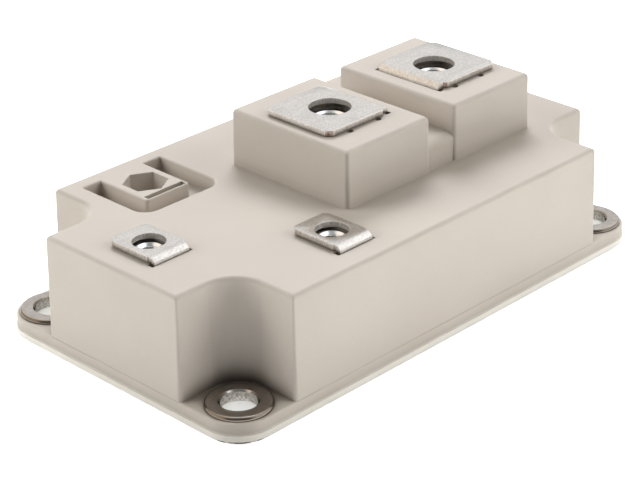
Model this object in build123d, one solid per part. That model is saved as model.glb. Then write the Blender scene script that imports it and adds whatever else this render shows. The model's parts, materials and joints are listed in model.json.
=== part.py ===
from build123d import *
import math
import os

# A power module: a moulded housing on a metal baseplate, screw terminals on top and the
# circuit on copper-clad ceramics inside. X runs along the long side, Z points away from the
# heat sink, and the origin is the centre of the baseplate's underside. Millimetres, degrees.

# Baseplate and mounting holes
baseplate_thickness = 3.0
bolt_edge = 6.7
bolt_hole = 6.4

# Flange, with a skirt that wraps the baseplate's edge
module_length = 106.4
module_width = 61.4
flange_corner = 7.0
flange_plate = 1.2
skirt_wall = 0.9
skirt_bottom = 0.85
lip_height = 1.15
lip_step = 0.2
flange_edge_radius = 0.3

# Body with four rounded corner notches
body_setback = 0.25
body_height = 19.3
wall_draft = 1.4
notch_gap_x = 0.75
notch_gap_y = 1.2
notch_radius = 5.8
edge_radius = 0.8
wall = 2.2
roof = 2.2

# Pedestals under the main terminals, and the lower bridge between them
pedestal_length = 21.6
pedestal_width = 29.1
pedestal_height = 10.8
pedestal_draft = 1.0
bridge_height = 5.55
bridge_recess = 0.4
bridge_radius = 1.5

# Main terminals
main_pitch = 28.0
first_main_x = 0.25
main_plate_width = 16.1
main_shoulder = 0.65
main_free_length = 8.5
main_strap_gap = 1.3
main_thickness = 1.0
main_bend = 1.4
main_hole = 7.8
main_corner_cut = 1.1
main_gap = 0.2
main_leg_width = 6.0
main_foot_length = 4.5
emitter_slope_bottom = 3.0
emitter_slope_top = 8.0

# Auxiliary terminals
gate_from_end = 9.45
gate_terminal_y = 0.0
aux_from_pedestal = 9.05
aux_from_side = 10.95
aux_plate_width = 8.4
aux_shoulder = 0.3
aux_free_length = 5.6
aux_strap_gap = 0.71
aux_thickness = 1.0
aux_bend = 1.3
aux_hole = 5.9
aux_corner_cut = 0.9
aux_gap = 0.3
aux_tail_width = 3.0
aux_tail_level = 12.0

# Slots for the straps, and small pits beside the main terminals
slot_gap = 0.1
main_slot_play = 0.7
aux_slot_play = 0.6
pit_diameter = 1.4
pit_depth = 1.5
pit_spacing_x = 7.2
pit_spacing_y = 16.5

# Nuts and their pockets
m6_across_flats = 10.0
m6_nut_height = 6.25
m6_bore = 5.0
m6_recess = 0.85
m6_tail_bore = 6.6
m6_tail_depth = 6.0
m4_across_flats = 7.0
m4_nut_height = 4.2
m4_bore = 3.3
m4_recess = 0.1
m4_tail_bore = 4.5
m4_tail_depth = 4.0
nut_clearance = 0.18
nut_countersink = 0.6
nut_corner_angle = 30.0
well_wall = 1.6
well_floor = 1.2

# Unused terminal place with its creepage groove, between the notch and the first pedestal
unused_lean = 0.389
unused_from_side = 10.15
island_width = 10.3
island_front = 6.2
groove_width = 4.0
groove_back = 6.3
groove_depth = 3.0
groove_corner = 3.0
island_corner = 0.8
groove_edge_radius = 0.4
unused_slot_depth = 3.5

# Bushes in the mounting holes
bush_body = 9.4
bush_head = 11.7
bush_head_height = 0.75
bush_edge_radius = 0.6
bush_bore_chamfer = 0.3

# Substrates
substrate_gap = 3.6
substrate_end_gap = 0.9
substrate_side_gap = 6.25
back_copper = 0.3
ceramic = 0.6
top_copper = 0.3
copper_margin = 0.7
track_gap = 0.7
gate_track_width = 1.9
emitter_track_width = 7.3

# Chips, their bond wires and the links
igbt_share = 0.567
igbt_thickness = 0.2
diode_thickness = 0.25
diode_step = 1.3
chip_inset = 0.6
chip_gap = 2.4
chip_side_gap = 1.0
chip_outer_gap = 3.3
wires_per_chip = 5
wire_diameter = 0.4
landing_share = 0.24
wire_loop = 2.2
wire_bend = 0.8
link_width = 2.2
link_thickness = 0.8
link_side_gap = 0.8
link_bend = 1.0
link_foot = 2.5
collector_link_height = 4.0
emitter_link_height = 6.5
lead_diameter = 0.9
lead_bend = 1.4
lead_height = 3.5
lead_inset = 1.1
gel_level = 13.0

# Two places this close are the same place
same_place = 0.0001

# Heights that follow from the sizes above
flange_top = baseplate_thickness + flange_plate
body_top = flange_top + body_height
pedestal_top = body_top + pedestal_height
bridge_top = body_top + bridge_height
body_ceiling = body_top - roof
main_plate_top = pedestal_top + main_gap + main_thickness
aux_plate_top = body_top + aux_gap + aux_thickness
track_top = baseplate_thickness + back_copper + ceramic + top_copper
m6_nut_floor = pedestal_top - m6_recess - m6_nut_height
m4_nut_floor = body_top - m4_recess - m4_nut_height

# Housing and baseplate
body_length = module_length - 2 * body_setback
body_width = module_width - 2 * body_setback
baseplate_length = module_length - 2 * skirt_wall
baseplate_width = module_width - 2 * skirt_wall
baseplate_corner = flange_corner - skirt_wall
bolt_x = module_length / 2 - bolt_edge
bolt_y = module_width / 2 - bolt_edge
bolt_places = [(sx * bolt_x, sy * bolt_y) for sx in (-1, 1) for sy in (-1, 1)]
notch_length = bolt_edge + bush_head / 2 + notch_gap_x - body_setback
notch_width = bolt_edge + bush_head / 2 + notch_gap_y - body_setback
bridge_width = pedestal_width - 2 * bridge_recess

# Terminals and their slots
main_places = [first_main_x, first_main_x + main_pitch]
main_strap_width = main_plate_width - 2 * main_shoulder
main_fold_reach = m6_across_flats / 2 + main_strap_gap + main_thickness
main_slot_length = main_strap_width + 2 * main_slot_play
pedestal_face = first_main_x - pedestal_length / 2
gate_terminal_x = -body_length / 2 + gate_from_end
aux_terminal_x = pedestal_face - aux_from_pedestal
aux_terminal_y = -body_width / 2 + aux_from_side
aux_strap_width = aux_plate_width - 2 * aux_shoulder
aux_fold_reach = m4_across_flats / math.sqrt(3) + aux_strap_gap + aux_thickness
aux_slot_length = aux_strap_width + 2 * aux_slot_play

# Unused terminal place
groove_length = island_front + groove_back
groove_span = island_width + 2 * groove_width
notch_face = -body_length / 2 + notch_length
unused_room = pedestal_face - notch_face - groove_span
unused_x = notch_face + unused_lean * unused_room + groove_span / 2
unused_y = body_width / 2 - unused_from_side

# Substrates, each placed from its own centre
substrate_end = body_length / 2 - notch_length - wall - substrate_end_gap
substrate_length = substrate_end - substrate_gap / 2
substrate_width = body_width - 2 * (wall + substrate_side_gap)
substrate_offset = substrate_end - substrate_length / 2
substrate_places = [-substrate_offset, substrate_offset]
copper_length = substrate_length - 2 * copper_margin
copper_width = substrate_width - 2 * copper_margin
collector_track_length = copper_length - 2 * track_gap - gate_track_width - emitter_track_width
gate_track_x = -copper_length / 2 + gate_track_width / 2
emitter_track_x = copper_length / 2 - emitter_track_width / 2
collector_track_x = gate_track_x + (gate_track_width + collector_track_length) / 2 + track_gap
lead_side = copper_width / 2 - lead_inset

# Chips share the collector track's length, and lie beyond the busbars' legs and the links
link_side = main_leg_width / 2 + link_side_gap + link_width / 2
chip_start = link_side + link_width / 2 + chip_side_gap
chip_room = collector_track_length - 2 * chip_inset - chip_gap
igbt_length = igbt_share * chip_room
igbt_width = copper_width / 2 - chip_outer_gap - chip_start
diode_length = chip_room - igbt_length
diode_width = igbt_width - 2 * diode_step
chip_row = chip_start + igbt_width / 2
igbt_x = collector_track_x - collector_track_length / 2 + chip_inset + igbt_length / 2
diode_x = igbt_x + igbt_length / 2 + chip_gap + diode_length / 2
wire_spacing = diode_width / wires_per_chip


def block(x_range, y_range, z_range):
    """A box between two limits along each axis."""
    size = [high - low for low, high in (x_range, y_range, z_range)]
    centre = [(low + high) / 2 for low, high in (x_range, y_range, z_range)]
    return Pos(*centre) * Box(*size)


def prism(outline, bottom, top, draft=0.0):
    """An outline raised from one height to another, with its walls drawn in by the draft."""
    return extrude(Pos(0, 0, bottom) * outline, amount=top - bottom, taper=draft)


def cylinder(diameter, x, y, bottom, top):
    return Pos(x, y, (bottom + top) / 2) * Cylinder(diameter / 2, top - bottom)


def edges_at(shape, height):
    """The edges that lie in one level plane."""
    return [edge for edge in shape.edges() if abs(edge.bounding_box().min.Z - height) < same_place
            and abs(edge.bounding_box().max.Z - height) < same_place]


def hexagon(across_flats):
    """A hexagon with two corners on the Y axis."""
    return RegularPolygon(radius=across_flats / 2, side_count=6, major_radius=False, rotation=30)


def pocket_halves(across_flats):
    """How far a nut's pocket reaches from its centre to a flat and to a corner."""
    to_flat = across_flats / 2 + nut_clearance
    return to_flat, 2 * to_flat / math.sqrt(3)


def body_outline(inset, corner):
    """The plan of the body's walls moved in by an inset, with its outer corners rounded."""
    half_length = body_length / 2 - inset
    half_width = body_width / 2 - inset
    outline = Rectangle(2 * half_length, 2 * half_width)
    notch = RectangleRounded(2 * notch_length, 2 * notch_width, notch_radius + inset)
    for sx in (-1, 1):
        for sy in (-1, 1):
            outline -= Pos(sx * half_length, sy * half_width) * notch
    outer = [v for v in outline.vertices() if abs(abs(v.X) - half_length) < same_place
             or abs(abs(v.Y) - half_width) < same_place]
    return fillet(outer, radius=corner)


def flange():
    """The skirt's proud lip and the flange above it."""
    lip = prism(RectangleRounded(module_length, module_width, flange_corner), skirt_bottom,
                skirt_bottom + lip_height)
    upper = prism(RectangleRounded(module_length - 2 * lip_step, module_width - 2 * lip_step,
                                   flange_corner - lip_step), skirt_bottom + lip_height, flange_top)
    upper = fillet(edges_at(upper, flange_top), radius=flange_edge_radius)
    return lip + upper


def pedestal(x):
    outline = Pos(x, 0) * RectangleRounded(pedestal_length, pedestal_width, edge_radius)
    solid = prism(outline, body_top, pedestal_top, pedestal_draft)
    return fillet(edges_at(solid, pedestal_top), radius=edge_radius)


def bridge():
    """The lower block between the pedestals, with its long top edges rounded."""
    solid = block(main_places, (-bridge_width / 2, bridge_width / 2), (body_top, bridge_top))
    long_edges = [edge for edge in edges_at(solid, bridge_top)
                  if abs(abs(edge.center().Y) - bridge_width / 2) < same_place]
    return fillet(long_edges, radius=bridge_radius)


def nut_well(across_flats, tail_bore, tail_depth, floor, mouth):
    """The void for a nut and the end of its screw, centred on the screw."""
    pocket = prism(hexagon(across_flats + 2 * nut_clearance), floor, mouth)
    return pocket + cylinder(tail_bore, 0, 0, floor - tail_depth, floor)


def well_block(reach, side, tail_depth, floor, strap_face, ceiling):
    """The walls round a nut well below the ceiling, flush with the slot on the strap's side.

    Reach and side are how far the nut's pocket goes from the screw, along and across the strap.
    """
    return block((-reach - well_wall, strap_face), (-side - well_wall, side + well_wall),
                 (floor - tail_depth - well_floor, ceiling))


def strap_slot(fold_reach, thickness, length, bottom, top):
    """The slot that a strap comes up through, on the +X side of the screw."""
    faces = (fold_reach - thickness - slot_gap, fold_reach + slot_gap)
    return block(faces, (-length / 2, length / 2), (bottom, top))


def main_frame(index):
    """The place of a main terminal: the first folds towards the second, and the other way."""
    return Pos(main_places[index], 0, 0) * Rot(0, 0, 180 * index)


def aux_frame(x, y):
    """The place of a small terminal, whose strap comes up on its -Y side."""
    return Pos(x, y, 0) * Rot(0, 0, -90)


def aux_frames():
    return [aux_frame(gate_terminal_x, gate_terminal_y), aux_frame(aux_terminal_x, aux_terminal_y)]


def groove_outline():
    """The U-shaped groove, open towards +Y, round the unused terminal's island."""
    front = unused_y - island_front
    back = unused_y + groove_back
    outer_length = groove_length + groove_width + groove_corner
    outer = Pos(unused_x, front - groove_width + outer_length / 2) * RectangleRounded(
        island_width + 2 * groove_width, outer_length, groove_corner)
    island_length = groove_length + groove_corner
    island = Pos(unused_x, front + island_length / 2) * RectangleRounded(
        island_width, island_length, island_corner)
    beyond = Pos(unused_x, back + outer_length / 2) * Rectangle(2 * module_width, outer_length)
    return outer - island - beyond


def groove_mouth(shell):
    """The edges round the groove in the body's top face."""
    reach = island_width / 2 + groove_width
    front = unused_y - island_front - groove_width
    back = unused_y + groove_back
    return [edge for edge in edges_at(shell, body_top)
            if abs(edge.center().X - unused_x) < reach + same_place
            and front - same_place < edge.center().Y < back + same_place]


def groove_block():
    """The extra thickness under the groove."""
    half = island_width / 2 + groove_width + wall
    front = unused_y - island_front - groove_width - wall
    return block((unused_x - half, unused_x + half), (front, body_width / 2 - wall),
                 (body_top - groove_depth - roof, body_ceiling))


def cavity():
    """The room over the baseplate, up to the body's ceiling."""
    return prism(body_outline(wall, edge_radius), baseplate_thickness, body_ceiling, wall_draft)


def upper_rooms():
    """The hollows inside the pedestals and the bridge."""
    overlap = roof
    rooms = block((main_places[0], main_places[1]), (-bridge_width / 2 + wall, bridge_width / 2 - wall),
                  (body_ceiling - overlap, bridge_top - roof))
    for x in main_places:
        outline = Pos(x, 0) * RectangleRounded(pedestal_length - 2 * wall, pedestal_width - 2 * wall,
                                               edge_radius)
        rooms += prism(outline, body_ceiling - overlap, pedestal_top - roof, pedestal_draft)
    return rooms


def well_blocks():
    """Every block that hangs in the rooms to hold a nut well or the groove's floor."""
    main_face = main_fold_reach - main_thickness - slot_gap
    aux_face = aux_fold_reach - aux_thickness - slot_gap
    m6_flat, m6_corner = pocket_halves(m6_across_flats)
    m4_flat, m4_corner = pocket_halves(m4_across_flats)
    blocks = groove_block()
    for index in (0, 1):
        blocks += main_frame(index) * well_block(m6_flat, m6_corner, m6_tail_depth, m6_nut_floor,
                                                 main_face, pedestal_top - roof)
    for frame in aux_frames() + [aux_frame(unused_x, unused_y)]:
        blocks += frame * well_block(m4_corner, m4_flat, m4_tail_depth, m4_nut_floor, aux_face,
                                     body_ceiling)
    return blocks


def terminal_cuts():
    """The nut wells, strap slots and pits that open on the top faces."""
    main_slot = strap_slot(main_fold_reach, main_thickness, main_slot_length, body_ceiling,
                           pedestal_top)
    main_well = nut_well(m6_across_flats, m6_tail_bore, m6_tail_depth, m6_nut_floor, pedestal_top)
    aux_slot = strap_slot(aux_fold_reach, aux_thickness, aux_slot_length, aux_tail_level, body_top)
    aux_well = nut_well(m4_across_flats, m4_tail_bore, m4_tail_depth, m4_nut_floor, body_top)
    unused_slot = strap_slot(aux_fold_reach, aux_thickness, aux_slot_length,
                             body_top - unused_slot_depth, body_top)
    turn = Rot(0, 0, 90)
    cuts = []
    for index in (0, 1):
        cuts += [main_frame(index) * main_slot, main_frame(index) * main_well]
        for sx in (-1, 1):
            for sy in (-1, 1):
                cuts.append(cylinder(pit_diameter, main_places[index] + sx * pit_spacing_x / 2,
                                     sy * pit_spacing_y / 2, pedestal_top - pit_depth, pedestal_top))
    for frame in aux_frames():
        cuts += [frame * aux_slot, frame * turn * aux_well]
    unused = aux_frame(unused_x, unused_y)
    cuts += [unused * unused_slot, unused * turn * aux_well]
    return cuts


def housing():
    """The one-piece moulding."""
    body = prism(body_outline(0, edge_radius), flange_top, body_top, wall_draft)
    body = fillet(edges_at(body, body_top), radius=edge_radius)
    shell = flange() + body + bridge()
    for x in main_places:
        shell += pedestal(x)
    shell -= prism(groove_outline(), body_top - groove_depth, body_top)
    shell = fillet(groove_mouth(shell), radius=groove_edge_radius)
    shell -= baseplate_blank()
    shell -= (cavity() + upper_rooms()) - well_blocks()
    for cut in terminal_cuts():
        shell -= cut
    for x, y in bolt_places:
        shell -= cylinder(bush_body, x, y, baseplate_thickness, flange_top)
    return shell


def baseplate_blank():
    outline = RectangleRounded(baseplate_length, baseplate_width, baseplate_corner)
    return prism(outline, 0, baseplate_thickness)


def baseplate():
    plate = baseplate_blank()
    for x, y in bolt_places:
        plate -= cylinder(bolt_hole, x, y, 0, baseplate_thickness)
    return plate


def mounting_bush(x, y):
    """A flanged sleeve that stands on the baseplate and clamps the flange."""
    head_top = flange_top + bush_head_height
    head = cylinder(bush_head, 0, 0, flange_top, head_top)
    head = fillet(edges_at(head, head_top), radius=bush_edge_radius)
    sleeve = head + cylinder(bush_body, 0, 0, baseplate_thickness, flange_top)
    sleeve -= cylinder(bolt_hole, 0, 0, baseplate_thickness, head_top)
    bore_mouth = [edge for edge in edges_at(sleeve, head_top) if edge.radius < bush_body / 2]
    return Pos(x, y, 0) * chamfer(bore_mouth, length=bush_bore_chamfer)


def nut(across_flats, height, bore, floor):
    """A hexagon nut standing on its pocket's floor, with turned corners."""
    top = floor + height
    corner_radius = across_flats / math.sqrt(3)
    turned = cylinder(2 * corner_radius, 0, 0, floor, top)
    corner_cut = corner_radius - across_flats / 2
    rims = edges_at(turned, floor) + edges_at(turned, top)
    turned = chamfer(rims, length=corner_cut * math.tan(math.radians(nut_corner_angle)),
                     length2=corner_cut)
    solid = prism(hexagon(across_flats), floor, top) & turned
    solid -= cylinder(bore, 0, 0, floor, top)
    mouth = [edge for edge in edges_at(solid, top) if edge.geom_type == GeomType.CIRCLE
             and abs(edge.radius - bore / 2) < same_place]
    return chamfer(mouth, length=nut_countersink)


def bent_strip(points, width, thickness, bend):
    """A strip of sheet along a route in the XZ plane, bent round its corners."""
    route = FilletPolyline(*[(x, 0, z) for x, z in points], radius=bend - thickness / 2)
    section = Plane(origin=route @ 0, z_dir=route % 0, x_dir=(0, 1, 0)) * Rectangle(width, thickness)
    return sweep(section, path=route)


def terminal_plan(plate_width, strap_width, free_length, fold_reach, bend, corner_cut):
    """The flat plate with cut corners, and the narrower strip where it folds."""
    fold_start = fold_reach - bend
    half = plate_width / 2
    shoulder = (plate_width - strap_width) / 2
    plate = Polygon(
        (-free_length, -half + corner_cut), (-free_length + corner_cut, -half),
        (fold_start - shoulder, -half), (fold_start, -half + shoulder),
        (fold_start, half - shoulder), (fold_start - shoulder, half),
        (-free_length + corner_cut, half), (-free_length, half - corner_cut), align=None)
    fold = Pos(fold_start + bend, 0) * Rectangle(2 * bend, strap_width)
    return plate + fold


def folded_terminal(route, plan, hole, strip, leg_width, leg_top):
    """A terminal cut from one bent strip: plate and strap above, a narrow leg below."""
    width, thickness, bend, plate_top = strip
    sheet = bent_strip(route, width, thickness, bend)
    upper = sheet & prism(plan, leg_top, plate_top + thickness)
    leg = sheet & block((-module_length, module_length), (-leg_width / 2, leg_width / 2), (0, leg_top))
    return (upper + leg) - cylinder(hole, 0, 0, plate_top - thickness, plate_top)


def main_terminal(lower_route):
    """A main busbar in its own frame, from the plate over the fold to its foot."""
    level = main_plate_top - main_thickness / 2
    strap_x = main_fold_reach - main_thickness / 2
    route = [(-main_free_length, level), (strap_x, level)] + lower_route
    plan = terminal_plan(main_plate_width, main_strap_width, main_free_length, main_fold_reach,
                         main_bend, main_corner_cut)
    strip = (main_plate_width, main_thickness, main_bend, main_plate_top)
    return folded_terminal(route, plan, main_hole, strip, main_leg_width, body_ceiling)


def collector_busbar():
    foot_level = track_top + main_thickness / 2
    strap_x = main_fold_reach - main_thickness / 2
    lower_route = [(strap_x, foot_level), (strap_x + main_foot_length, foot_level)]
    return main_frame(0) * main_terminal(lower_route)


def emitter_busbar():
    """Its leg slopes across to the emitter track, which lies beyond the chips."""
    foot_level = track_top + main_thickness / 2
    strap_x = main_fold_reach - main_thickness / 2
    track_left = substrate_offset + emitter_track_x - emitter_track_width / 2
    leg_x = main_places[1] - track_left - main_thickness
    lower_route = [(strap_x, foot_level + emitter_slope_top),
                   (leg_x, foot_level + emitter_slope_bottom), (leg_x, foot_level),
                   (leg_x - main_foot_length, foot_level)]
    return main_frame(1) * main_terminal(lower_route)


def aux_terminal(frame):
    level = aux_plate_top - aux_thickness / 2
    strap_x = aux_fold_reach - aux_thickness / 2
    route = [(-aux_free_length, level), (strap_x, level), (strap_x, aux_tail_level)]
    plan = terminal_plan(aux_plate_width, aux_strap_width, aux_free_length, aux_fold_reach,
                         aux_bend, aux_corner_cut)
    strip = (aux_plate_width, aux_thickness, aux_bend, aux_plate_top)
    return frame * folded_terminal(route, plan, aux_hole, strip, aux_tail_width, body_ceiling)


def rod(points, diameter, bend):
    """A round wire along straight runs joined by bends."""
    route = FilletPolyline(*points, radius=bend)
    section = Plane(origin=route @ 0, z_dir=route % 0) * Circle(diameter / 2)
    return sweep(section, path=route)


def bond_wire(start, end, y):
    """One loop of wire between two flat tops, each given as (x, z)."""
    loop_level = max(start[1], end[1]) + wire_loop
    return rod([(start[0], y, start[1]), (start[0], y, loop_level), (end[0], y, loop_level),
                (end[0], y, end[1])], wire_diameter, wire_bend)


def bond_wires(centre_x):
    """Gate wires, and rows of wires from each switch over its diode to the emitter track."""
    igbt_top = track_top + igbt_thickness
    diode_top = track_top + diode_thickness
    gate = (centre_x + gate_track_x, track_top)
    igbt_landing = (0.5 - landing_share) * igbt_length
    diode_landing = (0.5 - landing_share) * diode_length
    gate_pad = (centre_x + igbt_x - igbt_landing, igbt_top)
    source = (centre_x + igbt_x + igbt_landing, igbt_top)
    diode_in = (centre_x + diode_x - diode_landing, diode_top)
    diode_out = (centre_x + diode_x + diode_landing, diode_top)
    track = (centre_x + emitter_track_x, track_top)
    wires = []
    for row in (-chip_row, chip_row):
        wires.append(bond_wire(gate, gate_pad, row))
        for index in range(wires_per_chip):
            y = row + (index - (wires_per_chip - 1) / 2) * wire_spacing
            wires += [bond_wire(source, diode_in, y), bond_wire(diode_out, track, y)]
    return Compound(wires)


def level_slab(x, y, length, width, bottom, thickness):
    return block((x - length / 2, x + length / 2), (y - width / 2, y + width / 2),
                 (bottom, bottom + thickness))


def substrate(centre_x):
    """The layers of one substrate by name, from the baseplate up."""
    ceramic_bottom = baseplate_thickness + back_copper
    tracks_bottom = ceramic_bottom + ceramic
    layers = {
        "back_copper": level_slab(centre_x, 0, copper_length, copper_width, baseplate_thickness,
                                  back_copper),
        "ceramic": level_slab(centre_x, 0, substrate_length, substrate_width, ceramic_bottom, ceramic),
    }
    for name, x, length in (("collector_track", collector_track_x, collector_track_length),
                            ("emitter_track", emitter_track_x, emitter_track_width),
                            ("gate_track", gate_track_x, gate_track_width)):
        layers[name] = level_slab(centre_x + x, 0, length, copper_width, tracks_bottom, top_copper)
    return layers


def chips(centre_x):
    """The switches and diodes of one substrate by name."""
    pieces = {}
    for row, y in enumerate((-chip_row, chip_row), start=1):
        pieces["igbt_chip", row] = level_slab(centre_x + igbt_x, y, igbt_length, igbt_width,
                                              track_top, igbt_thickness)
        pieces["diode_chip", row] = level_slab(centre_x + diode_x, y, diode_length, diode_width,
                                               track_top, diode_thickness)
    return pieces


def link(start_x, end_x, y, height):
    """A bent copper bridge with a foot on a track at each end."""
    foot_level = track_top + link_thickness / 2
    top_level = foot_level + height
    route = [(start_x - link_foot, foot_level), (start_x, foot_level), (start_x, top_level),
             (end_x, top_level), (end_x, foot_level), (end_x + link_foot, foot_level)]
    return Pos(0, y, 0) * bent_strip(route, link_width, link_thickness, link_bend)


def collector_link():
    left_edge = -substrate_offset + collector_track_x + collector_track_length / 2
    right_edge = substrate_offset + collector_track_x - collector_track_length / 2
    return link(left_edge - link_thickness, right_edge + link_thickness, link_side,
                collector_link_height)


def emitter_link():
    left_edge = -substrate_offset + emitter_track_x + emitter_track_width / 2
    right_edge = substrate_offset + emitter_track_x - emitter_track_width / 2
    return link(left_edge - link_thickness, right_edge + link_thickness, -link_side,
                emitter_link_height)


def gate_link():
    """An arch of wire between the two gate tracks."""
    left = -substrate_offset + gate_track_x
    right = substrate_offset + gate_track_x
    level = track_top + lead_height
    return rod([(left, lead_side, track_top), (left, lead_side, level),
                (right, lead_side, level), (right, lead_side, track_top)],
               lead_diameter, lead_bend)


def gate_lead():
    """A wire from the gate terminal's tail down to the first gate track."""
    y = gate_terminal_y - aux_fold_reach + aux_thickness / 2
    track_x = -substrate_offset + gate_track_x
    level = track_top + lead_height
    return rod([(gate_terminal_x, y, aux_tail_level), (gate_terminal_x, y, level),
                (track_x, y, level), (track_x, y, track_top)], lead_diameter, lead_bend)


def aux_emitter_lead():
    """A wire from the auxiliary emitter's tail across to the first emitter track."""
    y = aux_terminal_y - aux_fold_reach + aux_thickness / 2
    track_x = -substrate_offset + emitter_track_x
    level = track_top + lead_height
    return rod([(aux_terminal_x, y, aux_tail_level), (aux_terminal_x, y, level), (track_x, y, level),
                (track_x, -lead_side, level), (track_x, -lead_side, track_top)],
               lead_diameter, lead_bend)


def silicone_gel(pieces):
    """The soft filling, cast round everything that stands in the cavity."""
    gel = cavity() & block((-module_length, module_length), (-module_width, module_width),
                           (0, gel_level))
    gel -= well_blocks()
    for piece in pieces:
        gel -= piece
    return gel


def inner_pieces():
    """Everything sealed inside the housing but the gel, by name."""
    pieces = {}
    for number, centre_x in enumerate(substrate_places, start=1):
        for name, solid in substrate(centre_x).items():
            pieces[f"{name}_{number}"] = solid
        for (name, row), solid in chips(centre_x).items():
            pieces[f"{name}_{number}_{row}"] = solid
        pieces[f"bond_wires_{number}"] = bond_wires(centre_x)
    pieces["collector_link"] = collector_link()
    pieces["emitter_link"] = emitter_link()
    pieces["gate_link"] = gate_link()
    pieces["gate_lead"] = gate_lead()
    pieces["aux_emitter_lead"] = aux_emitter_lead()
    return pieces


def all_pieces():
    inner = inner_pieces()
    gate_frame, aux_emitter_frame = aux_frames()
    terminals = {
        "collector_busbar": collector_busbar(),
        "emitter_busbar": emitter_busbar(),
        "gate_terminal": aux_terminal(gate_frame),
        "aux_emitter_terminal": aux_terminal(aux_emitter_frame),
    }
    pieces = {"housing": housing(), "baseplate": baseplate()}
    for number, (x, y) in enumerate(bolt_places, start=1):
        pieces[f"mounting_bush_{number}"] = mounting_bush(x, y)
    m6 = nut(m6_across_flats, m6_nut_height, m6_bore, m6_nut_floor)
    m4 = nut(m4_across_flats, m4_nut_height, m4_bore, m4_nut_floor)
    pieces["m6_nuts"] = Compound([Pos(x, 0, 0) * m6 for x in main_places])
    pieces["m4_nuts"] = Compound([Pos(gate_terminal_x, gate_terminal_y, 0) * m4,
                                  Pos(aux_terminal_x, aux_terminal_y, 0) * m4])
    pieces.update(terminals)
    pieces.update(inner)
    pieces["silicone_gel"] = silicone_gel(list(terminals.values()) + list(inner.values()))
    return pieces


os.makedirs("parts", exist_ok=True)
for name, solid in all_pieces().items():
    export_step(solid, f"parts/{name}.step")
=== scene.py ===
import json
import math

import bmesh
import bpy
from mathutils import Matrix, Vector


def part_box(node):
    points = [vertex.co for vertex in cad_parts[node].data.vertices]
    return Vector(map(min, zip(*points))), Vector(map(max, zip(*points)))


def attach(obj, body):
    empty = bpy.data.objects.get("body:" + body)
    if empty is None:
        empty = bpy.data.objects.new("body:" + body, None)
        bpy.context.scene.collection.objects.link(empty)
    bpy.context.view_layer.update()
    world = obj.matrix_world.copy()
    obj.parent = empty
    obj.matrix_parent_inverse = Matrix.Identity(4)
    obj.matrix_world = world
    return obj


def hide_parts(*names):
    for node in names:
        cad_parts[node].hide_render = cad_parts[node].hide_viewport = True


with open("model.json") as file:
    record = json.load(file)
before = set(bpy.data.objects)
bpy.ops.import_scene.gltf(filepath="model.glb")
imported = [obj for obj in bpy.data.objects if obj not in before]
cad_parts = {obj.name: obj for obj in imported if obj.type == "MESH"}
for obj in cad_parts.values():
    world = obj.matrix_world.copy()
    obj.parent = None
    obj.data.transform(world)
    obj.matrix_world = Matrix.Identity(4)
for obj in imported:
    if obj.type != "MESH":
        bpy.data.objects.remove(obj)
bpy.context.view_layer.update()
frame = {"nodes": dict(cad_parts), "record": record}
mounts = {mount["name"]: mount for mount in frame["record"]["mounts"]}

mm = 0.001
body = "root"
terminal_nodes = ("collector_busbar", "emitter_busbar", "gate_terminal", "aux_emitter_terminal")
bush_nodes = tuple(f"mounting_bush_{number}" for number in (1, 2, 3, 4))

# The view: turns about the object in degrees, distances in metres, and the focal length and the
# picture's width in the same pixels
view_azimuth = -45.33
view_elevation = 26.51
view_roll = -0.93
view_distance = 0.3851
view_shift_right = -0.00209
view_shift_up = 0.00801
focal_pixels = 2069.9
image_width = 640
sensor_width = 36.0
nearest_seen = 0.01

# Light, as strengths at which a colour renders about as it is written. Boxes are lamps, and a floor
# box shines in a narrow beam, in degrees.
top_light = 0.3
left_light = 4.3
right_light = 3.5
back_light = 10.6
left_floor_light = 1.2
right_floor_light = 1.5
corner_floor_light = 1.5
floor_box_spread = 50
room_light = 0.1
white = (1.0, 1.0, 1.0, 1.0)
warm = (1.0, 0.975, 0.925)
cool = (0.975, 0.98, 1.03)
floor_white = 0.90
floor_lift = 0.85
floor_reach = 3.0

# What shines back from metal: dark on one side, brighter to the right, cream to the left. A reach
# says how nearly a direction points to the side, as a cosine, where the change starts and where it
# is full.
dark_side = (-0.60, -0.60, 0.53)
dark_side_reach = (0.62, 0.84)
dark_side_light = 0.26
right_side = (0.64, -0.45, 0.62)
right_side_reach = (0.6, 0.9)
right_side_light = 1.5
left_side = (-0.47, 0.63, 0.62)
left_side_reach = (0.6, 0.9)
left_side_colour = (1.12, 1.0, 0.86, 1.0)

# What finishes share: the levels between which noise has nearly all its values, the cosine of the
# turn at which an edge counts in full, and how much open sky a free place and a deep corner have
noise_low = 0.3
noise_high = 0.7
full_edge = 0.75
open_place = 0.85
deep_corner = 0.15
edge_samples = 6
smooth_samples = 8

# Where a colour mix has its two colours and its result
mix_first, mix_second, mix_result = 6, 7, 2

# Faces that turn by more than this meet in a sharp edge
sharp_turn = math.radians(28)


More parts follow.
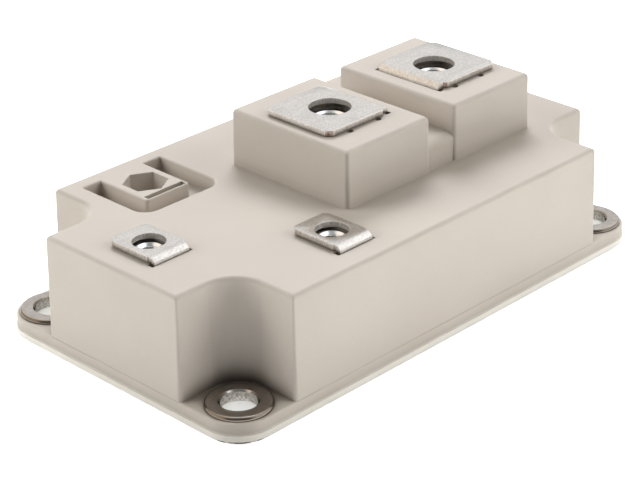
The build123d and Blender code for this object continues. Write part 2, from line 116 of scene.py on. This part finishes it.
class Nodes:
    """The node tree of a material or a world, with short calls for its nodes."""

    def __init__(self, owner):
        owner.use_nodes = True
        self.tree = owner.node_tree
        self.tree.nodes.clear()

    def node(self, kind, inputs=None, **settings):
        """A new node, with values or other nodes' results for the inputs that are named."""
        made = self.tree.nodes.new(kind)
        for key, value in settings.items():
            setattr(made, key, value)
        for key, value in (inputs or {}).items():
            self.put(value, made.inputs[key])
        return made

    def put(self, value, socket):
        if isinstance(value, bpy.types.NodeSocket):
            self.tree.links.new(value, socket)
        else:
            socket.default_value = value

    def sums(self, operation, first, second=0.0):
        return self.node("ShaderNodeMath", {0: first, 1: second}, operation=operation).outputs["Value"]

    def vectors(self, operation, first, second=(0, 0, 0), result="Vector"):
        made = self.node("ShaderNodeVectorMath", {0: first, 1: second}, operation=operation)
        return made.outputs[result]

    def part(self, vector, axis):
        return self.node("ShaderNodeSeparateXYZ", {0: vector}).outputs[axis]

    def span(self, value, low, high, to_low, to_high, **settings):
        """Goes from one value to another while what it follows goes from low to high."""
        return self.node("ShaderNodeMapRange", {"Value": value, "From Min": low, "From Max": high,
                                                "To Min": to_low, "To Max": to_high},
                         **settings).outputs["Result"]

    def blend(self, amount, first, second):
        mix = self.node("ShaderNodeMix", {"Factor": amount}, data_type="RGBA")
        self.put(first, mix.inputs[mix_first])
        self.put(second, mix.inputs[mix_second])
        return mix.outputs[mix_result]

    def rays(self, *kinds):
        """1 for rays of any of these kinds, and 0 for others."""
        path = self.node("ShaderNodeLightPath")
        total = path.outputs[f"Is {kinds[0]} Ray"]
        for kind in kinds[1:]:
            total = self.sums("MAXIMUM", total, path.outputs[f"Is {kind} Ray"])
        return total


class Finish(Nodes):
    """A material in the object's own metres: colours laid over one another, with relief."""

    def __init__(self, name):
        self.material = bpy.data.materials.new(name)
        super().__init__(self.material)
        self.shader = self.node("ShaderNodeBsdfPrincipled")
        self.node("ShaderNodeOutputMaterial", {"Surface": self.shader.outputs["BSDF"]})
        self.place = self.node("ShaderNodeTexCoord").outputs["Object"]
        self.colour = None
        self.bump = None

    def stretched(self, along, across, up):
        """The place with each axis stretched, for grain that runs one way."""
        return self.vectors("MULTIPLY", self.place, (along, across, up))

    def noise(self, size, detail=3.0, place=None):
        """Noise whose features are about one size, in millimetres."""
        return self.node("ShaderNodeTexNoise", {"Vector": place or self.place,
                                                "Scale": 1 / (size * mm), "Detail": detail},
                         ).outputs["Fac"]

    def spread(self, noise, first, last):
        """Noise spread over the whole way from one value to another."""
        return self.span(noise, noise_low, noise_high, first, last)

    def rise(self, value, start, full, most=1.0):
        """0 up to the start, and the most from full on."""
        return self.span(value, start, full, 0.0, most)

    def edges(self, radius, most):
        """How near a sharp edge is, from 0 on the flat to the most."""
        rounded = self.node("ShaderNodeBevel", {"Radius": radius * mm}, samples=edge_samples)
        plain = self.node("ShaderNodeNewGeometry").outputs["Normal"]
        agree = self.vectors("DOT_PRODUCT", rounded.outputs["Normal"], plain, "Value")
        return self.rise(agree, 1.0, full_edge, most)

    def corners(self, reach, most):
        """How deep in a corner or gap a point is, from 0 in the open to the most."""
        open_sky = self.node("ShaderNodeAmbientOcclusion", {"Distance": reach * mm},
                             samples=smooth_samples)
        return self.rise(open_sky.outputs["AO"], open_place, deep_corner, most)

    def rim(self, corner, side, cut):
        """1 near the outer edge of a plate centred on the origin, whose own corner is given.

        Side is the rim's width along the sides, and cut how far it comes in at the corners.
        """
        along = self.sums("ABSOLUTE", self.part(self.place, "X"))
        across = self.sums("ABSOLUTE", self.part(self.place, "Y"))
        at_ends = self.sums("GREATER_THAN", along, corner.x - side * mm)
        at_sides = self.sums("GREATER_THAN", across, corner.y - side * mm)
        at_corners = self.sums("GREATER_THAN", self.sums("ADD", along, across),
                               corner.x + corner.y - cut * mm)
        return self.sums("MAXIMUM", self.sums("MAXIMUM", at_ends, at_sides), at_corners)

    def base(self, noise, first, second, low=noise_low, high=noise_high):
        """The colours that lie below the others, in clouds."""
        self.colour = self.blend(self.rise(noise, low, high), first, second)

    def layer(self, amount, colour):
        """Lays a colour over what is there, by an amount from 0 to 1."""
        self.colour = self.blend(amount, self.colour, colour)

    def soften(self, radius):
        """Rounds the light on sharp edges, under any relief that follows."""
        self.bump = self.node("ShaderNodeBevel", {"Radius": radius * mm},
                              samples=smooth_samples).outputs["Normal"]

    def roughen(self, height, depth, strength):
        """Adds relief of a depth in millimetres."""
        inputs = {"Height": height, "Distance": depth * mm, "Strength": strength}
        if self.bump:
            inputs["Normal"] = self.bump
        self.bump = self.node("ShaderNodeBump", inputs).outputs["Normal"]

    def done(self, **sockets):
        sockets["Base_Color"] = self.colour
        sockets["Normal"] = self.bump
        for name, value in sockets.items():
            self.put(value, self.shader.inputs[name.replace("_", " ")])
        return self.material


# Housing: levels on it are in millimetres above the heat sink
greige = (0.60, 0.55, 0.492, 1)
pale_greige = (0.625, 0.577, 0.52, 1)
light_speck = (0.72, 0.67, 0.61, 1)
dark_speck = (0.43, 0.38, 0.325, 1)
# Edges lightened, partly for wear and partly as a painted highlight
worn_plastic_and_highlight = (0.74, 0.695, 0.635, 1)
# Painted shade: darker in corners and gaps, where shade falls
painted_corner_shade = (0.20, 0.155, 0.115, 1)
# Painted shade: near black in deep corners close to the foot
painted_foot_shade = (0.05, 0.035, 0.025, 1)
# Painted light: the lower lip lighter, for the light it takes from the floor
painted_lip_light = (0.95, 0.92, 0.86, 1)
# Levels in millimetres between which the painted shade near the foot fades in
foot_shade_top = 10.0
foot_shade_full = 5.0
# Levels in millimetres between which the painted light on the lower lip fades in
lit_lip_top = 2.3
lit_lip_full = 1.9


def moulded_plastic():
    """Filled, light greige plastic: flow clouds, specks, eroded-mould grain, edges lightened for wear
    and as a painted highlight, painted shade in corners and in deep corners low down, and a lower lip
    painted lighter for the light it takes from the floor.
    """
    finish = Finish("moulded_plastic")
    clouds = finish.noise(18, detail=2)
    grain = finish.noise(0.28, detail=2)
    specks = finish.noise(0.5, detail=4)
    height = finish.part(finish.place, "Z")
    # How low a point is, for the painted shade near the foot
    low = finish.rise(height, foot_shade_top * mm, foot_shade_full * mm, 0.9)
    finish.base(clouds, greige, pale_greige)
    finish.layer(finish.rise(specks, 0.62, 0.78, 0.35), light_speck)
    finish.layer(finish.rise(specks, 0.36, 0.22, 0.25), dark_speck)
    # Edges lighter, partly wear and partly a painted highlight
    finish.layer(finish.edges(0.5, most=0.4), worn_plastic_and_highlight)
    # Painted shade in corners and gaps, where shade falls
    finish.layer(finish.corners(3.5, most=0.42), painted_corner_shade)
    # Painted shade: near black in deep corners, fading in from 10 mm down to 5 mm
    finish.layer(finish.sums("MULTIPLY", finish.corners(6, most=1), low), painted_foot_shade)
    # Painted light on the lower lip, for the light from the floor
    finish.layer(finish.rise(height, lit_lip_top * mm, lit_lip_full * mm, 0.95), painted_lip_light)
    finish.soften(0.22)
    finish.roughen(clouds, depth=0.05, strength=0.25)
    finish.roughen(grain, depth=0.012, strength=0.5)
    return finish.done(Roughness=finish.span(grain, 0.2, 0.8, 0.48, 0.66), Specular_IOR_Level=0.35)


# Terminals
dull_tin = (0.64, 0.615, 0.585, 1)
bright_tin = (0.76, 0.735, 0.71, 1)
roll_line = (0.54, 0.515, 0.485, 1)
tin_sparkle = (0.84, 0.82, 0.79, 1)
tin_pore = (0.46, 0.44, 0.415, 1)
# Edges lightened, partly for wear and partly as a painted highlight
worn_tin_and_highlight = (0.90, 0.88, 0.84, 1)
# Painted shade in corners, holes and under the plates
painted_tin_shade = (0.12, 0.10, 0.08, 1)
torn_tin = (0.50, 0.47, 0.43, 1)
smeared_tin = (0.78, 0.75, 0.71, 1)
copper_blush = (0.60, 0.50, 0.42, 1)
# Painted shade in the holes and corners of the sheared sides
painted_shear_shade = (0.12, 0.105, 0.09, 1)
burnt_copper = (0.16, 0.10, 0.08, 1)
bare_copper = (0.50, 0.35, 0.28, 1)
tin_on_copper = (0.62, 0.57, 0.52, 1)


def tinned_plate():
    """Rolled, tinned strip: fine lines along the roll, cloudy patches, scratches, edges lightened for
    wear and as a painted highlight, and painted shade in corners and gaps.
    """
    finish = Finish("tinned_plate")
    rolled = finish.noise(0.9, detail=4, place=finish.stretched(0.12, 1.6, 1.0))
    clouds = finish.noise(3.5)
    grain = finish.noise(0.4)
    scratches = finish.noise(2.4, detail=6, place=finish.stretched(3.0, 0.25, 1.0))
    finish.base(clouds, dull_tin, bright_tin)
    finish.layer(finish.rise(rolled, 0.35, 0.65, 0.35), roll_line)
    finish.layer(finish.rise(grain, 0.52, 0.62, 0.6), tin_sparkle)
    finish.layer(finish.rise(grain, 0.44, 0.34, 0.3), tin_pore)
    # Edges lighter, partly wear and partly a painted highlight
    finish.layer(finish.edges(0.25, most=0.3), worn_tin_and_highlight)
    # Painted shade in corners, holes and under the plates
    finish.layer(finish.corners(1.5, most=0.7), painted_tin_shade)
    finish.roughen(rolled, depth=0.006, strength=0.6)
    finish.roughen(grain, depth=0.008, strength=0.5)
    finish.roughen(finish.rise(scratches, 0.62, 0.7), depth=0.01, strength=0.4)
    return finish.done(Metallic=1.0, Roughness=finish.span(clouds, 0.25, 0.75, 0.27, 0.40))


def sheared_tin():
    """Punched and sheared sides of the strip: short upright tears, duller than the rolled faces, with
    painted shade in corners and holes.
    """
    finish = Finish("sheared_tin")
    tears = finish.noise(0.25, place=finish.stretched(1.0, 1.0, 0.25))
    clouds = finish.noise(1.5)
    finish.base(tears, torn_tin, smeared_tin)
    finish.layer(finish.rise(clouds, 0.5, 0.75, 0.5), copper_blush)
    # Painted shade in holes and corners
    finish.layer(finish.corners(2.5, most=0.6), painted_shear_shade)
    finish.roughen(tears, depth=0.03, strength=0.6)
    return finish.done(Metallic=0.75, Roughness=finish.spread(clouds, 0.42, 0.6))


def sheared_copper():
    """The bare copper that shows where the plated strip was cut, with streaks down the cut."""
    finish = Finish("sheared_copper")
    streaks = finish.noise(0.3, place=finish.stretched(1.0, 1.0, 0.15))
    smears = finish.noise(0.8, detail=2)
    finish.base(streaks, burnt_copper, bare_copper, 0.35, 0.65)
    finish.layer(finish.rise(smears, 0.4, 0.6, 0.8), tin_on_copper)
    finish.roughen(streaks, depth=0.02, strength=0.7)
    return finish.done(Metallic=1.0, Roughness=finish.spread(smears, 0.3, 0.5))


# Mounting bushes: in millimetres, how far out from the hole the bright bore ends and how far in from
# the head's edge the painted shade starts, each fading over a short way. The rings lie about 0.35 mm
# apart.
dull_bush = (0.40, 0.365, 0.33, 1)
bright_bush = (0.50, 0.465, 0.43, 1)
bush_pit = (0.22, 0.19, 0.16, 1)
worn_bush = (0.74, 0.71, 0.67, 1)
dull_bore = (0.26, 0.24, 0.22, 1)
bright_bore = (0.46, 0.44, 0.41, 1)
# Painted shade: the shoulder below the head's edge dark, for the dark it reflects
painted_shoulder_shade = (0.20, 0.17, 0.14, 1)
# Painted shade in corners and the bore
painted_bush_shade = (0.05, 0.04, 0.03, 1)
bore_out = 0.16
bore_out_full = 0.06
shade_in = 0.35
shade_in_full = 0.29
ring_scale = 900.0
bore_radius = mounts["mounting_holes"]["dims"]["hole_r_mm"]


def turned_nickel(name, low, high):
    """Nickel over a turned bush: rings about its axis, a bright bore, a shoulder painted dark for the
    dark it reflects, and painted shade in corners.
    """
    finish = Finish(name)
    centre = (low + high) / 2
    head_radius = (high.x - low.x) / 2 / mm
    offset = finish.vectors("SUBTRACT", finish.place, (centre.x, centre.y, 0))
    away = finish.vectors("LENGTH", finish.vectors("MULTIPLY", offset, (1, 1, 0)), result="Value")
    rings = finish.node("ShaderNodeTexWave", {"Vector": offset, "Scale": ring_scale,
                                              "Distortion": 0.6, "Detail": 2.0},
                        wave_type="RINGS", rings_direction="Z").outputs["Fac"]
    stains = finish.noise(1.6)
    pits = finish.noise(0.35)
    bored = finish.blend(finish.rise(pits, 0.4, 0.6), dull_bore, bright_bore)
    finish.base(stains, dull_bush, bright_bush)
    finish.layer(finish.rise(pits, 0.6, 0.72, 0.6), bush_pit)
    finish.layer(finish.edges(0.2, most=0.4), worn_bush)
    finish.layer(finish.rise(away, (bore_radius + bore_out) * mm, (bore_radius + bore_out_full) * mm),
                 bored)
    # Painted shade on the shoulder, for the dark it reflects
    finish.layer(finish.rise(away, (head_radius - shade_in) * mm, (head_radius - shade_in_full) * mm),
                 painted_shoulder_shade)
    # Painted shade in corners and the bore
    finish.layer(finish.corners(1.2, most=0.7), painted_bush_shade)
    finish.roughen(rings, depth=0.002, strength=0.35)
    finish.roughen(pits, depth=0.004, strength=0.4)
    return finish.done(Metallic=1.0, Roughness=finish.spread(stains, 0.08, 0.17))


# Baseplate: how wide its sawn rim is along the sides, and how far it comes in at the corners, both
# in millimetres
dull_nickel = (0.58, 0.56, 0.53, 1)
bright_nickel = (0.68, 0.66, 0.63, 1)
nickel_dimple = (0.36, 0.34, 0.31, 1)
chipped_nickel = (0.05, 0.04, 0.035, 1)
# Painted light: the walls of the holes near white, for light from the floor below
painted_hole_light = (0.80, 0.80, 0.78, 1)
worn_nickel = (0.82, 0.80, 0.77, 1)
sawn_side = 1.0
sawn_corner = 5.6


def plated_base():
    """Nickel on the copper baseplate: rolled, dimpled, chipped at its sawn edge, with light painted on
    the walls of its holes.
    """
    finish = Finish("plated_base")
    rolled = finish.noise(2.0, detail=4, place=finish.stretched(0.1, 2.0, 1.0))
    dimples = finish.noise(0.5)
    clouds = finish.noise(12)
    chips = finish.noise(1.3, detail=4)
    normal = finish.node("ShaderNodeNewGeometry").outputs["Normal"]
    upright = finish.rise(finish.sums("ABSOLUTE", finish.part(normal, "Z")), 0.6, 0.3)
    sawn = finish.sums("MULTIPLY", upright, finish.rim(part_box("baseplate")[1], sawn_side, sawn_corner))
    drilled = finish.sums("SUBTRACT", upright, sawn)
    finish.base(clouds, dull_nickel, bright_nickel)
    finish.layer(finish.rise(dimples, 0.6, 0.75, 0.5), nickel_dimple)
    finish.layer(finish.sums("MULTIPLY", sawn, finish.rise(chips, 0.44, 0.52)), chipped_nickel)
    # Painted light on the walls of the holes
    finish.layer(drilled, painted_hole_light)
    finish.layer(finish.edges(0.4, most=0.4), worn_nickel)
    finish.soften(0.2)
    finish.roughen(rolled, depth=0.006, strength=0.5)
    finish.roughen(dimples, depth=0.01, strength=0.5)
    return finish.done(Metallic=1.0, Roughness=finish.spread(rolled, 0.34, 0.5))


# Nuts
zinc = (0.86, 0.88, 0.91, 1)
pale_zinc = (0.95, 0.96, 0.97, 1)
brushed_zinc = (0.66, 0.67, 0.69, 1)
worn_zinc = (0.93, 0.92, 0.90, 1)


def plated_nut():
    """Bright zinc with a faint blue cast and brushed flats."""
    finish = Finish("zinc_nut")
    brushed = finish.noise(0.5, detail=4, place=finish.stretched(2.0, 2.0, 0.2))
    clouds = finish.noise(2.2)
    finish.base(clouds, zinc, pale_zinc)
    finish.layer(finish.rise(brushed, 0.5, 0.75, 0.3), brushed_zinc)
    finish.layer(finish.edges(0.15, most=0.4), worn_zinc)
    finish.roughen(brushed, depth=0.005, strength=0.5)
    return finish.done(Metallic=1.0, Roughness=finish.spread(clouds, 0.16, 0.28))


# Sealed pieces
dark_copper = (0.50, 0.25, 0.15, 1)
light_copper = (0.72, 0.42, 0.28, 1)
dark_aluminium = (0.70, 0.70, 0.71, 1)
light_aluminium = (0.86, 0.86, 0.87, 1)
ceramic = (0.80, 0.79, 0.75, 1)
pale_ceramic = (0.88, 0.87, 0.84, 1)
worn_ceramic = (0.94, 0.93, 0.9, 1)
blue_silicon = (0.20, 0.21, 0.26, 1)
grey_silicon = (0.28, 0.27, 0.31, 1)
silicon_cell = (0.5, 0.5, 0.52, 1)
cloudy_gel = (0.72, 0.73, 0.70, 1)
pale_gel = (0.82, 0.82, 0.78, 1)
gel_dust = (0.5, 0.5, 0.46, 1)


def inner_metal(name, dark, light, smoothest, roughest):
    """Bare metal, drawn or rolled."""
    finish = Finish(name)
    rolled = finish.noise(0.8, detail=4, place=finish.stretched(0.3, 1.5, 1.0))
    stains = finish.noise(4.0)
    finish.base(stains, dark, light)
    finish.layer(finish.edges(0.15, most=0.4), light)
    finish.roughen(rolled, depth=0.006, strength=0.5)
    return finish.done(Metallic=1.0, Roughness=finish.spread(rolled, smoothest, roughest))


def fired_ceramic():
    """Matte white ceramic with a sintered grain."""
    finish = Finish("fired_ceramic")
    grain = finish.noise(0.15, detail=4)
    clouds = finish.noise(6.0, detail=2)
    finish.base(clouds, ceramic, pale_ceramic)
    finish.layer(finish.edges(0.2, most=0.3), worn_ceramic)
    finish.roughen(grain, depth=0.006, strength=0.5)
    return finish.done(Roughness=finish.spread(grain, 0.5, 0.65))


def polished_silicon():
    """Dark, polished chips with rows of cells."""
    finish = Finish("polished_silicon")
    clouds = finish.noise(2.5, detail=2)
    cells = finish.noise(0.12, detail=2, place=finish.stretched(1.0, 0.1, 1.0))
    finish.base(clouds, blue_silicon, grey_silicon)
    finish.layer(finish.rise(cells, 0.45, 0.55, 0.4), silicon_cell)
    finish.roughen(cells, depth=0.002, strength=0.4)
    return finish.done(Metallic=0.9, Roughness=finish.spread(clouds, 0.12, 0.25))


def soft_gel():
    """Clear soft filling with faint ripples and a little dust."""
    finish = Finish("soft_gel")
    ripples = finish.noise(5.0, detail=2)
    dust = finish.noise(0.3, detail=4)
    finish.base(ripples, cloudy_gel, pale_gel)
    finish.layer(finish.rise(dust, 0.68, 0.8, 0.4), gel_dust)
    finish.roughen(ripples, depth=0.2, strength=0.3)
    return finish.done(Transmission_Weight=0.5, IOR=1.4, Roughness=finish.spread(dust, 0.12, 0.3))


def dress(node, material):
    """Gives a carried-over node its finish."""
    for place in frame["nodes"][node].material_slots:
        place.material = material


def mesh_of(form, name):
    """The finished mesh of a form, smooth but for its sharp edges."""
    for face in form.faces:
        face.smooth = True
    mesh = bpy.data.meshes.new(name)
    form.to_mesh(mesh)
    form.free()
    mesh.set_sharp_from_angle(angle=sharp_turn)
    return mesh


def add_piece(name, mesh, nodes, materials):
    """A shown piece that stands for nodes of the frame."""
    for material in materials:
        mesh.materials.append(material)
    piece = bpy.data.objects.new(name, mesh)
    bpy.context.scene.collection.objects.link(piece)
    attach(piece, body)
    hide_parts(*nodes)
    return piece


# Terminals' form, in millimetres: the frame's own strips with their sheared edges rounded. A face is
# steep to an axis where its normal has more than this along it, and the face of a clipped corner is
# larger than a square of the given side.
shear_round = 0.11
shear_steps = 3
weld_gap = 0.0005
flat_turn = math.radians(0.2)
steep = 0.35
strip_thickness = 1.0
clip_side = 0.7
rolled_face, sheared_face, cut_corner = 0, 1, 2


def strip_face(face, top):
    """Which finish a face has: the sides were sheared, and the clipped corners cut after plating."""
    normal = face.normal
    if abs(normal.z) > steep or face.calc_center_median().z < top - strip_thickness * mm:
        return rolled_face
    wide = face.calc_area() > (clip_side * mm) ** 2
    return cut_corner if wide and min(abs(normal.x), abs(normal.y)) > steep else sheared_face


def rounded_strip(node, materials):
    """A copy of a terminal with rounded edges, duller sheared sides and bare copper at its corners."""
    form = bmesh.new()
    form.from_mesh(frame["nodes"][node].data)
    bmesh.ops.remove_doubles(form, verts=form.verts, dist=weld_gap * mm)
    bmesh.ops.dissolve_limit(form, angle_limit=flat_turn, verts=form.verts, edges=form.edges)
    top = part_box(node)[1].z
    for face in form.faces:
        face.material_index = strip_face(face, top)
    sharp = [edge for edge in form.edges
             if len(edge.link_faces) == 2 and edge.calc_face_angle() > sharp_turn]
    bmesh.ops.bevel(form, geom=sharp, offset=shear_round * mm, segments=shear_steps, profile=0.5,
                    affect="EDGES", clamp_overlap=True, loop_slide=False)
    mesh = mesh_of(form, f"{node}_strip")
    return add_piece(f"{node}_strip", mesh, [node], materials)


# Nuts' form, in millimetres: hexagons with turned corners and a real thread. Shares are of the pitch,
# a flank's slope is in depths of the groove for each pitch, and steps are the mesh's own.
m6_pitch = 1.0
m4_pitch = 0.7
thread_steps = 14
thread_depth_share = 0.54
thread_flank = 3.2
thread_fade_share = 0.4
countersink_depth = 0.6
countersink_slope = 1.05
chamfer_rings = 7
chamfer_slope = math.tan(math.radians(30))
round_steps = 96
hexagon_side = math.pi / 3


def share(value):
    """The value, kept between 0 and 1."""
    return max(0.0, min(1.0, value))


def nut_rings(across_flats, hole_radius, pitch, height):
    """The nut's section as rings of (level, radius at an angle), round the hole and back outside."""
    flat = across_flats / 2
    corner = flat / math.cos(hexagon_side / 2)
    mouth = height - countersink_depth * mm
    chamfer_start = (corner - flat) * chamfer_slope

    def thread(level):
        fade = share((mouth - level) / (thread_fade_share * pitch) + 0.5)

        def radius(angle):
            turn = (level / pitch - angle / (2 * math.pi)) % 1.0
            groove = share(thread_flank * (0.5 - abs(turn - 0.5)))
            flare = max(0.0, level - mouth) * countersink_slope
            return hole_radius + thread_depth_share * pitch * groove * fade + flare
        return radius

    def outside(level):
        cone = corner - max(0.0, chamfer_start - (height - level)) / chamfer_slope

        def radius(angle):
            sector = (angle - math.pi / 2) % hexagon_side - hexagon_side / 2
            return min(flat / math.cos(sector), cone)
        return radius

    count = round(height / pitch * thread_steps)
    rings = [(height * step / count, thread(height * step / count)) for step in range(count + 1)]
    outer = [height - chamfer_start * step / chamfer_rings for step in range(chamfer_rings + 1)]
    return rings + [(level, outside(level)) for level in outer + [0.0]]


def nut_mesh(name, centres, across_flats, hole_radius, pitch, bottom, height):
    """The mesh of equal nuts on their centres."""
    form = bmesh.new()
    angles = [2 * math.pi * step / round_steps for step in range(round_steps)]
    for centre in centres:
        rings = [[form.verts.new((centre.x + radius(angle) * math.cos(angle),
                                  centre.y + radius(angle) * math.sin(angle), bottom + level))
                  for angle in angles]
                 for level, radius in nut_rings(across_flats, hole_radius, pitch, height)]
        for ring, following in zip(rings, rings[1:] + rings[:1]):
            for step in range(round_steps):
                after = (step + 1) % round_steps
                form.faces.new((ring[step], ring[after], following[after], following[step]))
    bmesh.ops.recalc_face_normals(form, faces=form.faces)
    return mesh_of(form, name)


def threaded_nuts(node, screws, pitch, material):
    """The nuts of one node, each on its screw's mount."""
    low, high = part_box(node)
    centres = [Vector(mounts[screw]["pos_m"]) for screw in screws]
    hole_radius = mounts[screws[0]]["dims"]["r_mm"] * mm
    apart = max(centre.x for centre in centres) - min(centre.x for centre in centres)
    across_flats = (high.x - low.x) - apart
    mesh = nut_mesh(f"{node}_threaded", centres, across_flats, hole_radius, pitch * mm, low.z,
                    high.z - low.z)
    return add_piece(f"{node}_threaded", mesh, [node], [material])


def floor_material():
    """A white floor: it keeps the object's shadow, and shows white where it is lit."""
    material = bpy.data.materials.new("floor")
    paper = Nodes(material)
    matte = paper.node("ShaderNodeBsdfDiffuse", {"Color": (floor_white, floor_white, floor_white, 1)})
    seen = paper.rays("Camera", "Glossy", "Transmission")
    glow = paper.node("ShaderNodeEmission", {"Strength": paper.sums("MULTIPLY", seen, floor_lift)})
    both = paper.node("ShaderNodeAddShader", {0: matte.outputs["BSDF"], 1: glow.outputs["Emission"]})
    paper.node("ShaderNodeOutputMaterial", {"Surface": both.outputs["Shader"]})
    return material


def add_floor():
    """A square floor at the level of the baseplate's underside."""
    form = bmesh.new()
    corners = [(-floor_reach, -floor_reach), (floor_reach, -floor_reach), (floor_reach, floor_reach),
               (-floor_reach, floor_reach)]
    form.faces.new([form.verts.new((x, y, 0.0)) for x, y in corners])
    mesh = bpy.data.meshes.new("floor")
    form.to_mesh(mesh)
    form.free()
    mesh.materials.append(floor_material())
    made = bpy.data.objects.new("floor", mesh)
    bpy.context.scene.collection.objects.link(made)
    return made


def towards_side(room, side, reach, usual, there):
    """A value that goes smoothly from the usual one to another towards one side of the room."""
    direction = room.node("ShaderNodeTexCoord").outputs["Generated"]
    facing = room.vectors("DOT_PRODUCT", direction, side, "Value")
    return room.span(facing, *reach, usual, there, interpolation_type="SMOOTHSTEP")


def light_room():
    """White to whoever looks, uneven in reflections, and only a little light of its own."""
    world = bpy.data.worlds.new("room")
    bpy.context.scene.world = world
    room = Nodes(world)
    mirrored = room.rays("Glossy")
    walls = room.sums("MULTIPLY",
                      towards_side(room, dark_side, dark_side_reach, 1.0, dark_side_light),
                      towards_side(room, right_side, right_side_reach, 1.0, right_side_light))
    lit = room.sums("MULTIPLY", walls, room.span(mirrored, 0.0, 1.0, room_light, 1.0))
    strength = room.sums("MAXIMUM", room.rays("Camera", "Transmission"), lit)
    cream = room.sums("MULTIPLY", towards_side(room, left_side, left_side_reach, 0.0, 1.0), mirrored)
    colour = room.blend(cream, white, left_side_colour)
    background = room.node("ShaderNodeBackground", {"Color": colour, "Strength": strength})
    room.node("ShaderNodeOutputWorld", {"Surface": background.outputs["Background"]})


def soft_box(name, place, width, depth, strength, colour, target=(0, 0, 0), spread=180):
    """A flat lamp that faces its target; strength is its glow if it spreads all round."""
    data = bpy.data.lights.new(name, "AREA")
    data.shape = "RECTANGLE"
    data.size = width
    data.size_y = depth
    data.energy = strength * math.pi * width * depth
    data.spread = math.radians(spread)
    data.color = colour
    lamp = bpy.data.objects.new(name, data)
    bpy.context.scene.collection.objects.link(lamp)
    lamp.location = place
    facing = Vector(target) - Vector(place)
    lamp.rotation_euler = facing.to_track_quat("-Z", "Y").to_euler()
    lamp.visible_camera = False
    lamp.visible_glossy = False


def floor_box(name, x, y, height, width, depth, strength):
    """A small lamp close over the floor that shines straight down beside the object."""
    soft_box(name, (x, y, height), width, depth, strength, warm, (x, y, 0), floor_box_spread)


def aim_camera():
    """The photograph's view: a long lens turned about the object and moved in its own plane."""
    azimuth, elevation, roll = (math.radians(a) for a in (view_azimuth, view_elevation, view_roll))
    back = Vector((math.sin(azimuth) * math.cos(elevation), -math.cos(azimuth) * math.cos(elevation),
                   math.sin(elevation)))
    level = Vector((math.cos(azimuth), math.sin(azimuth), 0))
    upright = back.cross(level)
    right = math.cos(roll) * level + math.sin(roll) * upright
    top = math.cos(roll) * upright - math.sin(roll) * level
    place = view_shift_right * right + view_shift_up * top + view_distance * back
    data = bpy.data.cameras.new("camera")
    data.sensor_width = sensor_width
    data.lens = sensor_width * focal_pixels / image_width
    data.clip_start = nearest_seen
    camera = bpy.data.objects.new("camera", data)
    bpy.context.scene.collection.objects.link(camera)
    camera.matrix_world = Matrix.Translation(place) @ Matrix((right, top, back)).transposed().to_4x4()
    bpy.context.scene.camera = camera


aim_camera()
bpy.context.scene.view_settings.view_transform = "Standard"

dress("housing", moulded_plastic())
dress("baseplate", plated_base())
for bush in bush_nodes:
    low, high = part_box(bush)
    dress(bush, turned_nickel(f"turned_nickel_{bush}", low, high))

# In the order of the faces' numbers: rolled, sheared and cut
strip_finishes = [tinned_plate(), sheared_tin(), sheared_copper()]
for node in terminal_nodes:
    rounded_strip(node, strip_finishes)
nut_finish = plated_nut()
threaded_nuts("m6_nuts", ["main_screw_1", "main_screw_2"], m6_pitch, nut_finish)
threaded_nuts("m4_nuts", ["small_screw_1", "small_screw_2"], m4_pitch, nut_finish)

inner_finishes = {
    "copper": inner_metal("rolled_copper", dark_copper, light_copper, 0.3, 0.45),
    "substrate_ceramic": fired_ceramic(),
    "chip_silicon": polished_silicon(),
    "wire_aluminium": inner_metal("drawn_aluminium", dark_aluminium, light_aluminium, 0.25, 0.4),
    "gel": soft_gel(),
}
for entry in frame["record"]["subparts"]:
    if entry["material_slot"] in inner_finishes:
        dress(entry["node"], inner_finishes[entry["material_slot"]])

floor = add_floor()
light_room()
soft_box("top_box", (0.05, 0.05, 1.1), width=0.8, depth=0.8, strength=top_light, colour=cool)
soft_box("left_box", (-0.56, 0.52, 0.42), width=0.6, depth=0.6, strength=left_light, colour=warm)
soft_box("right_box", (0.45, -0.60, 0.42), width=0.6, depth=0.6, strength=right_light, colour=warm)
soft_box("back_box", (0.5, 0.5, 0.8), width=0.5, depth=0.5, strength=back_light, colour=cool)
floor_box("left_floor_box", x=-0.105, y=0.025, height=0.10, width=0.05, depth=0.07,
          strength=left_floor_light)
floor_box("right_floor_box", x=0.018, y=-0.08, height=0.10, width=0.13, depth=0.05,
          strength=right_floor_light)
floor_box("corner_floor_box", x=-0.080, y=-0.058, height=0.06, width=0.03, depth=0.03,
          strength=corner_floor_light)
